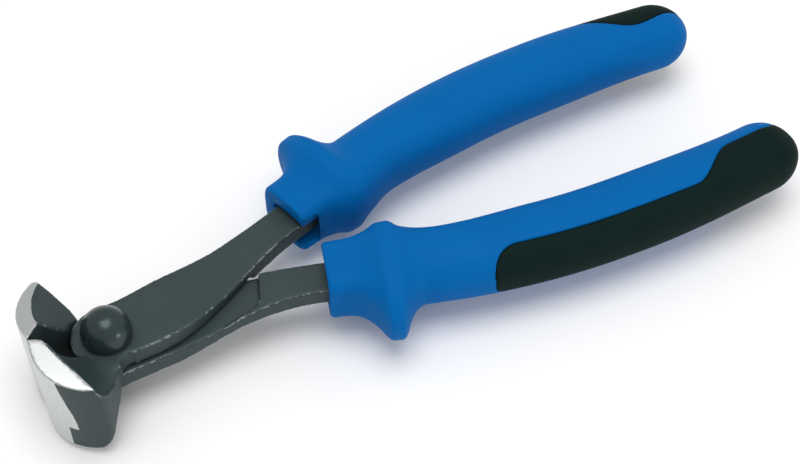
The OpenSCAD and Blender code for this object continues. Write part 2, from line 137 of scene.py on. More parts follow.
class NippersGripSizes(bpy.types.PropertyGroup):
    """Sizes of the grip sleeves and their pads."""

    mouth_x: length("Mouth distance", "From the rivet's axis to the sleeves' mouths", 54.6)
    mouth_y: length("Mouth half distance", "Half distance between the two mouths", 10.6)
    handle_shift: length("Handle shift", "Sideways offset of the pair of handles from the rivet", 6.4)
    over_slide: length("Over slide", "How much further the over sleeve is pushed on", 1.1)
    tilt: angle("Tilt", "Tilt of the straight front of a sleeve", 16.7)
    lead: length("Lead", "Length of the straight front", 29)
    bend_r: length("Bend radius", "Radius of the first bend", 185)
    tilt_out: angle("Tilt out", "Tilt left after the first bend", 3)
    end_r: length("End radius", "Radius of the long bend to the end", 360)
    grip_len: length("Grip length", "Length along the bend, without the round end", 120)
    cap_len: length("Cap length", "Length of the round end", 10.3)
    half_w: length("Half width", "Half width of the grip", 10.3)
    half_h: length("Half height", "Half height of the grip", 8.8)
    waist_half_w: length("Waist half width", "Half width behind the guard, inner side", 8.5)
    end_half_w: length("End half width", "Half width at the start of the round end", 9.4)
    end_half_h: length("End half height", "Half height at the start of the round end", 8.2)
    mouth_out: length("Mouth, outer side", "Half width of the mouth, outer side", 9)
    mouth_in: length("Mouth, inner side", "Half width of the mouth, inner side", 7.2)
    mouth_half_h: length("Mouth half height", "Half height of the mouth", 7.7)
    guard_s: length("Guard place", "Distance of the guard's crest from the mouth", 15.2)
    guard_crest_w: length("Guard crest", "Width of the flat band on the crest", 4)
    guard_front: length("Guard front", "Length of the guard's front slope", 8.6)
    guard_rear: length("Guard rear", "Length of the guard's rear slope", 7)
    guard_round: length("Guard rounding", "Rounding of the crest's edges", 0.8)
    fade_len: length("Guard fade", "Length of the guard's faded slope, upper face's inner side", 15)
    guard_out: length("Guard, outer side", "Height of the guard on the outer side", 10)
    guard_in: length("Guard, inner side", "Height of the guard on the inner side", 3.6)
    guard_face: length("Guard, faces", "Height of the guard on the faces", 3.2)
    fade_share: share("Guard fade height", "Height of the faded guard, of the full one", 0.8)
    fade_from: angle("Fade from", "Angle from the outer side where the guard starts to fade", 80)
    fade_full: angle("Fade full", "Angle where it has faded", 125)
    fade_back: angle("Fade back", "Angle where it starts to come back", 190)
    fade_gone: angle("Fade gone", "Angle where it is back", 230)
    front_power: share("Front growth", "Growth of the guard's front slope", 2.2)
    rear_power: share("Rear growth", "Growth of the guard's rear slope", 2.2)
    waist_share: share("Waist share", "Place of the waist along the sleeve", 0.22)
    full_share: share("Full share", "Place where the grip is full", 0.46)
    thin_share: share("Thin share", "Place where the grip starts to thin", 0.7)
    mouth_square: share("Mouth squareness", "Exponent of the mouth's section", 4)
    grip_square: share("Grip squareness", "Exponent of the grip's section", 2.2)
    rim_round: length("Rim rounding", "Rounding of the mouth's rim", 0.8)
    rim_share: share("Rim share", "Size of the rim's face to the mouth's section", 0.92)
    over_seat: length("Over seat", "Sideways seat of the over tang", -0.6)
    under_seat: length("Under seat", "Sideways seat of the under tang", 1.3)
    room_half_w: length("Room half width", "Half width of the room for the tang at the mouth", 5.5)
    room_up: length("Room above", "Height of that room above the middle plane", 3.4)
    room_down: length("Room below", "Depth of that room below the middle plane", 5.2)
    room_depth: length("Room depth", "Depth of that room", 9)
    room_square: share("Room squareness", "Exponent of the room's section", 9)
    notch_len: length("Notch", "Depth of the notch in the inner wall at the mouth", 7)
    notch_h: length("Notch height", "Height of that notch", 10.4)
    pad_s: length("Pad place", "Distance from the mouth to the front of the pad", 40)
    pad_edge: length("Pad edge", "Offset of the pad's edge from the middle line", 4.6)
    pad_front_r: length("Pad front", "Radius of the pad's front corner", 7)
    pad_nose: length("Pad nose", "Length of the pad's front corner on the other side", 2.2)
    nose_low: share("Nose, lower corner", "Place below the outer side's middle, in seam lips", 5)
    nose_high: share("Nose, upper corner", "Place below the outer side's middle, in seam lips", 2.5)
    sweep_s: length("Sweep place", "Distance from the mouth to the pad's sweep", 96)
    sweep_len: length("Sweep length", "Length of that sweep", 15)
    sweep_edge: length("Sweep edge", "Offset of the pad's edge past the middle line after the sweep", 3.4)
    close_from: share("Close from", "Share of the length where the pad starts to close round the end", 1.03)
    close_to: share("Close to", "Share of the length where it has closed", 1.09)
    low_end: share("Lower end", "Edge of the pad on the round end's lower face, of the half width", -0.95)
    high_end: share("Upper end", "Edge of the pad on the round end's upper face, of the half width", 0.2)
    high_share: share("Upper edge", "Edge of the pad along the upper face, of the half width", 0.87)
    dip_s: length("Dip place", "Distance from the mouth to the pad's dip across the upper face", 115)
    dip_edge: length("Dip edge", "Offset of the pad's edge from the middle line there", -0.9)
    pad_t: length("Pad thickness", "Thickness of the soft pad's shell", 0.9)
    pad_bed: length("Pad bed", "Depth of the bed under the pad", 1.2)
    seam_depth: length("Seam depth", "Depth of the seam between pad and sleeve", 0.45)
    seam_lip: length("Seam lip", "Width of the rounded lip on each side of the seam", 0.75)
    pad_columns: number("Pad columns", "Faces across the pad", 44)
    skin_columns: number("Skin columns", "Faces across the rest", 76)


class NippersLeverSizes(bpy.types.PropertyGroup):
    """Sizes of the levers' finish and of the rivet."""

    voxel: length("Grain", "Size of the faces on the forged surface", 0.3)
    soften: number("Soften", "Passes that soften the forged edges", 6)
    blend: number("Blend", "Passes that blend the scoop behind the ground end", 90)
    even_out: number("Even out", "Passes that even out the wear along the edges", 2)
    heel_front: share("Scoop front", "Front of the blended scoop from the rivet, of the edge distance", 0.9)
    heel_rear: share("Scoop rear", "Rear of the blended scoop from the rivet, of the edge distance", 0.05)
    heel_side: share("Scoop side", "Near side of the blended scoop, of the edge distance", 0.3)
    heel_low: share("Scoop foot", "Lowest place of the blended scoop, of the jaw's half width", 0.2)
    heel_lean: share("Scoop lean", "Least upward part of the scoop's normal", 0.1)
    heel_clear: length("Scoop clearance", "Distance of the blended scoop from the ground faces", 0.5)
    # Painted shade: a band on each side of the jaws' joint keeps the oxide colour, standing in for the
    # shade in the gap, where the steel is really ground bright
    joint_shade_band: length("Joint line", "Distance from the jaws' joint that is left dark", 0.45)
    keen: length("Keen zone", "Distance from the cutting edge that is left keen", 0.9)
    keen_reach: share("Keen reach", "Least distance of that zone from the rivet, of the edge distance", 0.7)
    edge_x: length("Edge distance", "From the rivet's axis to the cutting edges", 17.7)
    edge_y: length("Edge offset", "Half gap between the closed cutting edges", 0.2)
    edge_land: length("Edge land", "Narrow land on the cutting edge", 0.2)
    front_r: length("Front radius", "Radius of the jaw's round front", 14.3)
    front_back: length("Front set-back", "Set-back of the front's centre", 13.5)
    jaw_half: length("Jaw half width", "Half width of the cutting edges", 14.7)
    end_taper: angle("End taper", "Taper of the jaw's ends", 8)
    ground_w: length("Ground band", "Width of the ground band on the jaw's front", 13)
    ground_more: length("Ground bulge", "How much wider that band is beyond the jaw's middle", 2.5)
    ground_grow: share("Bulge length", "Length over which it widens, of the jaw's half width", 1.25)
    ground_step: share("Bulge end", "Where it steps back past the middle, of the jaw's half width", 0.35)
    ground_left: share("Bulge left", "How much of the bulge is left past that step", 0.2)
    ground_reach: share("Ground reach", "Band's least distance from the rivet, of the edge distance", 0.3)
    ground_skin: length("Ground skin", "Depth to which a ground face counts as bright", 0.35)
    near_r: length("Near arc", "Radius of the ground end's inner border on the lever's side", 33.9)
    near_x: length("Near arc, along", "Centre of that border from the rivet", 18.5)
    near_y: length("Near arc, across", "Centre of that border from the rivet", 4.3)
    far_r: length("Far arc", "Radius of the ground end's inner border on the other side", 16.5)
    far_x: length("Far arc, along", "Centre of that border from the rivet", 1.9)
    far_y: length("Far arc, across", "Centre of that border from the rivet", -5.1)
    shank_r: length("Shank radius", "Radius of the rivet's shank", 4)
    plate_t: length("Plate", "Thickness of one lever at the lap", 5)
    end_play: length("End play", "Gap under the lower head", 0.2)
    head_r: length("Head radius", "Radius of the domed heads", 6.1)
    head_rim_h: length("Head rim", "Height of the straight rim under the dome", 1.6)
    head_flat_r: length("Head flat", "Radius of the flat on top of the dome", 1.5)
    head_soft: length("Head rounding", "Rounding where rim and flat begin", 0.5)
    head_steps: number("Head steps", "Faces round the rivet", 96)
    rim_steps: number("Rim steps", "Faces on the rim's rounding", 6)
    crown_steps: number("Crown steps", "Faces up the dome", 20)


class NippersFinishes(bpy.types.PropertyGroup):
    """Colours of the finishes."""

    grip: colour("Grip", "Moulded grip", "#0062A8")
    grip_shade: colour("Grip shade", "Cloudy shade in the moulded grip", "#005DA0")
    pad: colour("Pad", "Soft pad", "#0A211E")
    pad_shade: colour("Pad shade", "Cloudy shade in the soft pad", "#081A18")
    oxide: colour("Oxide", "Blackened forged steel", "#324142")
    oxide_shade: colour("Oxide shade", "Cloudy shade in the oxide", "#2B393A")
    rivet: colour("Rivet", "Blackened rivet", "#2B3A3B")
    rivet_shade: colour("Rivet shade", "Cloudy shade on the rivet", "#263434")
    bright: colour("Bright", "Ground steel", "#DADBDA")
    bright_shade: colour("Bright shade", "Grinding marks", "#ABB0B1")
    worn: colour("Worn", "Edges where the oxide is worn", "#8D9797")
    floor: colour("Floor", "Painted floor", "#FAFAFA")


class NippersStage(bpy.types.PropertyGroup):
    """Camera, floor and light."""

    camera_place: spot("Camera", "Place from the rivet at the lap", -0.034455, -0.231158, 0.311101)
    tilt_down: angle("Tilt down", "How far the camera looks down", 50.4)
    turn: angle("Turn", "Turn of the view about the upright", 25.8)
    roll: angle("Roll", "Roll of the view", 0.9)
    lens: FloatProperty(name="Lens", description="Focal length", default=72, unit="CAMERA")
    clip_start: length("Clip start", "Nearest distance that the camera sees", 10)
    floor_half: length("Floor", "Half size of the floor", 3000)
    key_place: spot("Key place", "Place of the large light overhead", 0.0, -0.08, 1.05)
    key_size: length("Key size", "Size of that light", 800)
    key_power: wattage("Key power", "Power of that light", 5.4)
    glint_place: spot("Glint place", "Place of the small light low in front", 0.35, -0.6, 0.08)
    glint_size: length("Glint size", "Size of that light", 60)
    glint_power: wattage("Glint power", "Power of that light", 0.5)
    sky: share("Sky", "Strength of the pale surroundings", 0.7)


def smooth(t):
    """Eases from 0 to 1."""
    t = min(1.0, max(0.0, t))
    return t * t * (3 - 2 * t)


def mix(a, b, t):
    """The value at share t between a and b."""
    return a + (b - a) * t


def bent(value, power):
    """A signed power."""
    return math.copysign(abs(value) ** power, value)


def placed(half, x, y, z):
    """A point of a half's own frame, in the row's frame."""
    return PIVOT + Vector((x, half * y, half * z))


class GripShape:
    """One grip: a bent middle line and the sections along it."""

    def __init__(self, sizes, half):
        self.z = sizes
        self.half = half
        self.seat = sizes.over_seat if half > 0 else sizes.under_seat
        self.bend_end = sizes.lead + sizes.bend_r * (sizes.tilt - sizes.tilt_out)
        self.guard_from = sizes.guard_s - sizes.guard_crest_w / 2 - sizes.guard_front
        self.guard_to = sizes.guard_s + sizes.guard_crest_w / 2 + sizes.guard_rear

    def heading(self, s):
        """Direction of the middle line at s."""
        z = self.z
        if s <= z.lead:
            return z.tilt
        if s <= self.bend_end:
            return z.tilt - (s - z.lead) / z.bend_r
        return z.tilt_out - (s - self.bend_end) / z.end_r

    def middle(self, s):
        """Place of the middle line at s, in the half's own plane."""
        z = self.z
        ahead = Vector((math.cos(z.tilt), math.sin(z.tilt)))
        place = Vector((z.mouth_x, z.mouth_y + self.half * z.handle_shift))
        place += (min(s, z.lead) - (z.over_slide if self.half > 0 else 0)) * ahead
        for start, stop, radius in ((z.lead, self.bend_end, z.bend_r), (self.bend_end, s, z.end_r)):
            if s > start:
                a = self.heading(start)
                b = self.heading(min(s, stop))
                place += radius * Vector((math.sin(a) - math.sin(b), math.cos(b) - math.cos(a)))
        return place

    def at(self, s, across, up):
        """A point beside the middle line."""
        turn = self.heading(s)
        place = self.middle(s) + across * Vector((-math.sin(turn), math.cos(turn)))
        return placed(self.half, place.x, place.y, up)

    def guard_profile(self, s):
        """Share of the guard's height at s, with sharp edges."""
        z = self.z
        front = z.guard_s - z.guard_crest_w / 2 - s
        rear = s - z.guard_s - z.guard_crest_w / 2
        if front > 0:
            return max(0.0, 1 - front / z.guard_front) ** z.front_power
        if rear > 0:
            return max(0.0, 1 - rear / z.guard_rear) ** z.rear_power
        return 1.0

    def guard(self, s):
        """Share of the guard's height at s, with rounded edges."""
        steps = (-1.0, -0.5, 0.0, 0.5, 1.0)
        return sum(self.guard_profile(s + self.z.guard_round * step) for step in steps) / len(steps)

    def faded_guard(self, s):
        """The same where the guard fades into the waist."""
        z = self.z
        reach = z.guard_front if s < z.guard_s else z.fade_len
        return z.fade_share * smooth(1 - abs(s - z.guard_s) / reach)

    def fade(self, a):
        """How far the guard fades at angle a: most on the upper face's inner side."""
        z = self.z
        faded = smooth((a - z.fade_from) / (z.fade_full - z.fade_from))
        return faded * (1 - smooth((a - z.fade_back) / (z.fade_gone - z.fade_back)))

    def grown(self, s, mouth, waist, full, end):
        """A half size along the grip, without the guard."""
        z = self.z
        t = s / z.grip_len
        if t < z.waist_share:
            return mix(mouth, waist, smooth(t / z.waist_share))
        if t < z.thin_share:
            return mix(waist, full, smooth((t - z.waist_share) / (z.full_share - z.waist_share)))
        return mix(full, end, smooth((t - z.thin_share) / (1 - z.thin_share)))

    def half_out(self, s, guard=0.0):
        """Half width on the outer side, with a share of the guard."""
        z = self.z
        return self.grown(s, z.mouth_out, z.half_w, z.half_w, z.end_half_w) + z.guard_out * guard

    def half_in(self, s, guard=0.0):
        """Half width on the inner side, with a share of the guard."""
        z = self.z
        return self.grown(s, z.mouth_in, z.waist_half_w, z.half_w, z.end_half_w) + z.guard_in * guard

    def half_h(self, s, guard=0.0):
        """Half height, with a share of the guard."""
        z = self.z
        return self.grown(s, z.mouth_half_h, z.half_h, z.half_h, z.end_half_h) + z.guard_face * guard

    def power(self, s):
        """Exponent of the section's curve at s."""
        z = self.z
        return 2 / mix(z.mouth_square, z.grip_square, smooth((s - self.guard_from) / z.guard_front))

    def skin(self, s, a, inset=0.0, k=1.0):
        """A point of the grip's surface at s and angle a, sunk by inset."""
        z = self.z
        if s > z.grip_len:
            k *= math.sqrt(max(0.0, 1 - ((s - z.grip_len) / z.cap_len) ** 2))
        p = self.power(s)
        guard = mix(self.guard(s), self.faded_guard(s), self.fade(a))
        width = (self.half_out(s, guard) if math.cos(a) > 0 else self.half_in(s, guard)) - inset
        height = self.half_h(s, guard) - inset
        return self.at(s, k * width * bent(math.cos(a), p), k * height * bent(math.sin(a), p))

    def front(self, a):
        """Where the sleeve starts at angle a: further back inside the notch."""
        z = self.z
        p = self.power(0)
        if math.cos(a) > 0:
            return 0.0
        height = z.mouth_half_h * abs(math.sin(a)) ** p
        return z.notch_len * (1 - smooth((height - z.notch_h / 2) / z.rim_round + 0.5))

    def room(self, s, a, grow=0.0):
        """A point of the room for the tang."""
        z = self.z
        p = 2 / z.room_square
        across = self.seat + (z.room_half_w + grow) * bent(math.cos(a), p)
        up = (z.room_up - z.room_down) / 2 + ((z.room_up + z.room_down) / 2 + grow) * bent(math.sin(a), p)
        return self.at(s, across, up)

    def low_line(self, s):
        """Offset of the pad's edge on the lower face at s."""
        z = self.z
        line = mix(z.pad_edge, -z.sweep_edge, smooth((s - z.sweep_s) / z.sweep_len))
        closing = (s / z.grip_len - z.close_from) / (z.close_to - z.close_from)
        return mix(line, z.low_end * z.end_half_w, smooth(closing))

    def high_line(self, s):
        """Offset of the pad's edge on the upper face at s."""
        z = self.z
        if s < z.dip_s:
            return mix(z.high_share * z.half_w, z.dip_edge, smooth((s - z.sweep_s) / (z.dip_s - z.sweep_s)))
        rest = (s - z.dip_s) / (z.grip_len + z.cap_len - z.dip_s)
        return mix(z.dip_edge, z.high_end * z.end_half_w, smooth(rest))

    def nose(self, s):
        """How far the pad's front corner is drawn in at s."""
        z = self.z
        ahead = z.pad_front_r - min(max(0.0, s - z.pad_s), z.pad_front_r)
        return z.pad_front_r - math.sqrt(z.pad_front_r ** 2 - ahead ** 2)

    def pad_angle(self, s, line):
        """Angle from the outer side to the pad's edge at s."""
        part = line / (self.half_out(s) if line > 0 else self.half_in(s))
        return math.acos(bent(min(1.0, max(-1.0, part)), 1 / self.power(s)))


def new_object(name, bm, body, material, node):
    """Makes a mesh object that rides on a body and stands for a CAD node."""
    bmesh.ops.recalc_face_normals(bm, faces=bm.faces)
    for face in bm.faces:
        face.smooth = True
    mesh = bpy.data.meshes.new(name)
    bm.to_mesh(mesh)
    bm.free()
    mesh.materials.append(material)
    piece = bpy.data.objects.new(name, mesh)
    bpy.context.scene.collection.objects.link(piece)
    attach(piece, body)
    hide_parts(node)
    return piece


def wrapped_sheet(columns, rows, point):
    """A grid of faces laid on a surface: point(column, row) gives each corner's place."""
    bm = bmesh.new()
    bmesh.ops.create_grid(bm, x_segments=columns, y_segments=rows, size=1.0)
    for vert in bm.verts:
        column = round((vert.co.x + 1) / 2 * columns)
        row = round((vert.co.y + 1) / 2 * rows)
        vert.co = point(column, row)
    bmesh.ops.remove_doubles(bm, verts=bm.verts, dist=MERGE_DIST)
    return bm


def spaced(start, stop, step):
    """Evenly spaced places from start up to, but not at, stop."""
    count = max(1, math.ceil((stop - start) / step))
    return [mix(start, stop, i / count) for i in range(count)]


class PadPlan:
    """Where the pad lies on a grip, and the seam round it."""

    def __init__(self, shape):
        z = shape.z
        self.shape = shape
        self.lip = z.seam_lip
        # Angles between which the pad's front is cut square
        self.nose_low = -z.nose_low * z.seam_lip / z.end_half_w
        self.nose_high = -z.nose_high * z.seam_lip / z.end_half_w
        self.start = next(s for s in spaced(z.pad_s, z.pad_s + z.pad_front_r, SEARCH_STEP)
                          if shape.pad_angle(s, shape.low_line(s) + shape.nose(s)) >= -self.nose_low)
        front = [self.start + z.pad_front_r * (i / NOSE_ROWS) ** 2 for i in range(NOSE_ROWS)]
        body = spaced(self.start + z.pad_front_r, z.sweep_s, BODY_STEP)
        sweep = spaced(z.sweep_s, z.grip_len, SWEEP_STEP)
        cap = [z.grip_len + z.cap_len * math.sin(CAP_ANGLE * i / CAP_ROWS) for i in range(CAP_ROWS + 1)]
        self.stations = front + body + sweep + cap

    def sides(self, s):
        """Angles of the pad's columns at s: its lower and its upper edge."""
        z = self.shape.z
        if s < self.start:
            even = math.pi * z.pad_columns / (z.pad_columns + z.skin_columns)
            ease = smooth((s - self.shape.guard_to) / (self.start - self.shape.guard_to))
            return mix(-even, self.nose_low, ease), mix(even, self.nose_high, ease)
        low = self.shape.pad_angle(s, self.shape.low_line(s) + self.shape.nose(s))
        high = self.shape.pad_angle(s, self.shape.high_line(s))
        ahead = max(0.0, 1 - (s - self.start) / z.pad_nose)
        return min(-low, self.nose_low), mix(self.nose_high, high, math.sqrt(1 - ahead ** 2))

    def spread(self, low, high, columns, column, s):
        """Angle of a column between low and high, with the lip's columns at each side."""
        lip = min(self.lip / self.shape.half_h(s), (high - low) * LIP_LIMIT)
        if column <= LIP_ROWS:
            return low + lip * LIP_SHARES[column]
        if column >= columns - LIP_ROWS:
            return high - lip * LIP_SHARES[columns - column]
        return mix(low + lip, high - lip, (column - LIP_ROWS) / (columns - 2 * LIP_ROWS))

    def sink(self, away, deep):
        """How far a lip is sunk at a distance from the seam."""
        return deep * (1 - min(1.0, max(0.0, away / self.lip))) ** LIP_GROWTH


def sleeve_mesh(shape):
    """The moulded sleeve: its room for the tang, mouth, guard, grip and the bed under the pad."""
    z = shape.z
    plan = PadPlan(shape)
    columns = z.pad_columns + z.skin_columns
    zone = shape.guard_from
    mouth = [zone * (i / MOUTH_ROWS) ** MOUTH_GROWTH for i in range(MOUTH_ROWS)]
    guard = spaced(zone, shape.guard_to, GUARD_STEP)
    waist = spaced(shape.guard_to, plan.start - plan.lip, WAIST_STEP)
    lip = [plan.start - plan.lip * part for part in LIP_SHARES[:0:-1]]
    body = guard + waist + lip + plan.stations
    body_row = RIM_ROWS + MOUTH_ROWS

    def column_angle(column, s):
        low, high = plan.sides(s)
        if column < z.pad_columns:
            return plan.spread(low, high, z.pad_columns, column, s)
        return plan.spread(high, 2 * math.pi + low, z.skin_columns, column - z.pad_columns, s)

    def on_pad(column):
        return 0 < column % columns < z.pad_columns

    def bed(column, s):
        edge = min(abs(column % columns - seam) for seam in (0, z.pad_columns, columns))
        if on_pad(column):
            return z.pad_bed if s > plan.start else plan.sink(plan.start - s, z.seam_depth)
        if s < plan.start or edge > LIP_ROWS:
            return 0.0
        return plan.sink(LIP_SHARES[edge] * plan.lip, z.seam_depth)

    def rim_places(a, start):
        rim = shape.room(start, a, z.rim_round / 2)
        face = shape.skin(start, a, 0.0, z.rim_share)
        bottom = shape.at(z.room_depth, shape.seat, 0.0)
        walls = [shape.room(s, a) for s in (z.room_depth, start + z.rim_round / 2)]
        return [bottom, *walls, rim, mix(rim, face, 0.5), face]

    def point(column, row):
        a = column_angle(column % columns, 0.0)
        start = shape.front(a)
        if row < RIM_ROWS:
            return rim_places(a, start)[row]
        if row < body_row:
            back = mouth[row - RIM_ROWS]
            s = start + back * (zone - start) / zone
            k = mix(z.rim_share, 1, math.sqrt(min(1.0, back / z.rim_round)))
            return shape.skin(s, a, 0.0, k)
        if row == body_row + len(body):
            return shape.at(z.grip_len + z.cap_len - (z.pad_bed if on_pad(column) else 0.0), 0.0, 0.0)
        s = body[row - body_row]
        return shape.skin(s, column_angle(column % columns, s), bed(column, s))

    return wrapped_sheet(columns, body_row + len(body), point)


def pad_mesh(shape):
    """The soft pad: a shell over the outer side, swept across the lower face and round the end."""
    z = shape.z
    plan = PadPlan(shape)
    columns = z.pad_columns
    places = [plan.start + plan.lip * part for part in LIP_SHARES]
    places += [s for s in plan.stations if s > places[-1]]

    def point(column, row):
        if row == len(places):
            return shape.at(z.grip_len + z.cap_len, 0.0, 0.0)
        s = places[row]
        edge = min(column, columns - column)
        low, high = plan.sides(s)
        a = plan.spread(low, high, columns, column, s)
        side = plan.sink(LIP_SHARES[min(edge, LIP_ROWS)] * plan.lip, z.seam_depth)
        return shape.skin(s, a, max(side, plan.sink(s - plan.start, z.seam_depth)))

    return wrapped_sheet(columns, len(places), point)


def ground_field(sizes, half, place):
    """How far inside the ground faces a point lies, in mm; the oxide begins below zero."""
    x, y, up = place - PIVOT
    y *= half
    up *= half
    centre_x = -sizes.edge_x - sizes.edge_land + sizes.front_back
    centre_y = -sizes.edge_y - math.sqrt(sizes.front_r ** 2 - sizes.front_back ** 2)
    out = math.hypot(x - centre_x, y - centre_y) - sizes.front_r
    bulge = sizes.ground_left
    if up > -sizes.ground_step * sizes.jaw_half:
        bulge = smooth((sizes.jaw_half - up) / (sizes.ground_grow * sizes.jaw_half))
    front = min(
        out + sizes.ground_skin,
        y + sizes.ground_w + bulge * sizes.ground_more,
        -x - sizes.edge_x * sizes.ground_reach,
        # Painted shade: near the jaws' joint the ground faces are drawn in oxide colour, as the shade in
        # the gap between them
        -y - sizes.joint_shade_band,
    )
    end = abs(up) - sizes.jaw_half - (y + sizes.edge_y) * math.tan(sizes.end_taper) + sizes.ground_skin
    if up > 0:
        border = math.hypot(x - sizes.near_x, y - sizes.near_y) - sizes.near_r
    else:
        border = math.hypot(x - sizes.far_x, y - sizes.far_y) - sizes.far_r
    return max(front, min(end, border)) / MM


def in_heel(sizes, half, place):
    """Whether a point lies on the scoop behind the ground end, off the ground faces."""
    x, y, up = place - PIVOT
    if not -sizes.heel_front * sizes.edge_x < x < -sizes.heel_rear * sizes.edge_x:
        return False
    if half * y >= -sizes.heel_side * sizes.edge_x or half * up <= sizes.heel_low * sizes.jaw_half:
        return False
    return ground_field(sizes, half, place) < -sizes.heel_clear / MM


def evened(bm, verts, passes):
    """Moves each of the vertices half way to the middle of its neighbours, once for each pass."""
    for _ in range(passes):
        bmesh.ops.smooth_vert(
            bm, verts=verts, factor=0.5, use_axis_x=True, use_axis_y=True, use_axis_z=True,
        )


def lever_mesh(sizes, node, half):
    """The forged lever: the CAD solid with softened edges, and fields for the grinding and wear."""
    source = bmesh.new()
    source.from_mesh(frame["nodes"][node].data)
    bmesh.ops.remove_doubles(source, verts=source.verts, dist=MERGE_DIST)
    mesh = bpy.data.meshes.new(node + "_blank")
    source.to_mesh(mesh)
    source.free()
    blank = bpy.data.objects.new(node + "_blank", mesh)
    bpy.context.scene.collection.objects.link(blank)
    remesh = blank.modifiers.new("forged skin", "REMESH")
    remesh.mode = "VOXEL"
    remesh.voxel_size = sizes.voxel
    graph = bpy.context.evaluated_depsgraph_get()
    bm = bmesh.new()
    bm.from_object(blank, graph)
    bpy.data.objects.remove(blank)
    bpy.data.meshes.remove(mesh)
    keen_x = PIVOT.x - sizes.edge_x * sizes.keen_reach
    keen_y = sizes.edge_y + sizes.keen
    soft = [v for v in bm.verts
            if not (v.co.x < keen_x and abs(v.co.y - PIVOT.y) < keen_y)]
    evened(bm, soft, sizes.soften)
    bm.normal_update()
    heel = [v for v in soft if half * v.normal.z > sizes.heel_lean and in_heel(sizes, half, v.co)]
    evened(bm, heel, sizes.blend)
    bmesh.ops.recalc_face_normals(bm, faces=bm.faces)
    ground = bm.verts.layers.float.new("ground")
    wear = bm.verts.layers.float.new("wear")
    for vert in bm.verts:
        vert[ground] = ground_field(sizes, half, vert.co)
        turns = [edge.calc_face_angle_signed(0.0) for edge in vert.link_edges]
        vert[wear] = max(0.0, sum(turns) / max(1, len(turns)))
    for _ in range(sizes.even_out):
        means = [sum(edge.other_vert(vert)[wear] for edge in vert.link_edges) / len(vert.link_edges)
                 for vert in bm.verts]
        for vert, mean in zip(bm.verts, means):
            vert[wear] = mean
    return bm


def add_node(tree, kind, inputs=None, **settings):
    """Adds a node with its settings; each input gets a value or a link from a socket."""
    node = tree.nodes.new(kind)
    for name, value in settings.items():
        setattr(node, name, value)
    for key, value in (inputs or {}).items():
        if isinstance(value, bpy.types.NodeSocket):
            tree.links.new(value, node.inputs[key])
        else:
            node.inputs[key].default_value = value
    return node


def new_material(name):
    """An empty material: its tree, its shader and its Object coordinates."""
    material = bpy.data.materials.new(name)
    material.use_nodes = True
    tree = material.node_tree
    tree.nodes.clear()
    shader = add_node(tree, "ShaderNodeBsdfPrincipled")
    add_node(tree, "ShaderNodeOutputMaterial", {"Surface": shader.outputs["BSDF"]})
    coords = add_node(tree, "ShaderNodeTexCoord").outputs["Object"]
    return material, tree, shader, coords


def rgba(values):
    """A colour with full cover."""
    return (*values, 1.0)


def clouded(tree, coords, spacing, detail, shade, base):
    """A colour that drifts between two shades: the cloud and the mixed colour."""
    cloud = add_node(tree, "ShaderNodeTexNoise", {"Vector": coords, "Scale": 1 / spacing, "Detail": detail})
    tint = add_node(tree, "ShaderNodeMix", {
        "Factor": cloud.outputs["Fac"], "A": rgba(shade), "B": rgba(base),
    }, data_type="RGBA")
    return cloud.outputs["Fac"], tint.outputs["Result"]


def grained(tree, shader, coords, spacing, detail, roughness, strength, depth):
    """Gives a moulded surface its grain, in the gloss and in the relief."""
    grain = add_node(tree, "ShaderNodeTexNoise", {"Vector": coords, "Scale": 1 / spacing, "Detail": detail})
    gloss = add_node(tree, "ShaderNodeMapRange", {
        "Value": grain.outputs["Fac"], "To Min": roughness[0], "To Max": roughness[1],
    })
    tree.links.new(gloss.outputs["Result"], shader.inputs["Roughness"])
    bump = add_node(tree, "ShaderNodeBump", {
        "Strength": strength, "Distance": depth, "Height": grain.outputs["Fac"],
    })
    tree.links.new(bump.outputs["Normal"], shader.inputs["Normal"])


def moulded_grip(finish):
    """Polypropylene moulded in a spark-eroded tool: even satin blue, a fine grain in the sheen."""
    material, tree, shader, coords = new_material("moulded_polypropylene")
    _, tint = clouded(tree, coords, 14 * MM, 3.0, finish.grip_shade, finish.grip)
    tree.links.new(tint, shader.inputs["Base Color"])
    # A spark-eroded grain is near 0.1 mm; 0.35 mm is drawn, so that it shows
    grained(tree, shader, coords, 0.35 * MM, 2.0, roughness=(0.5, 0.62), strength=0.12, depth=0.05 * MM)
    shader.inputs["IOR"].default_value = 1.49
    shader.inputs["Specular IOR Level"].default_value = 0.05
    return material


def soft_pad(finish):
    """Thermoplastic elastomer, moulded over the grip: black, dull, with a fine dry grain."""
    material, tree, shader, coords = new_material("soft_elastomer")
    _, tint = clouded(tree, coords, 9 * MM, 4.0, finish.pad_shade, finish.pad)
    tree.links.new(tint, shader.inputs["Base Color"])
    # The real grain is too fine to show; 0.4 mm is drawn
    grained(tree, shader, coords, 0.4 * MM, 3.0, roughness=(0.56, 0.72), strength=0.2, depth=0.06 * MM)
    shader.inputs["IOR"].default_value = 1.5
    shader.inputs["Specular IOR Level"].default_value = 0.06
    return material


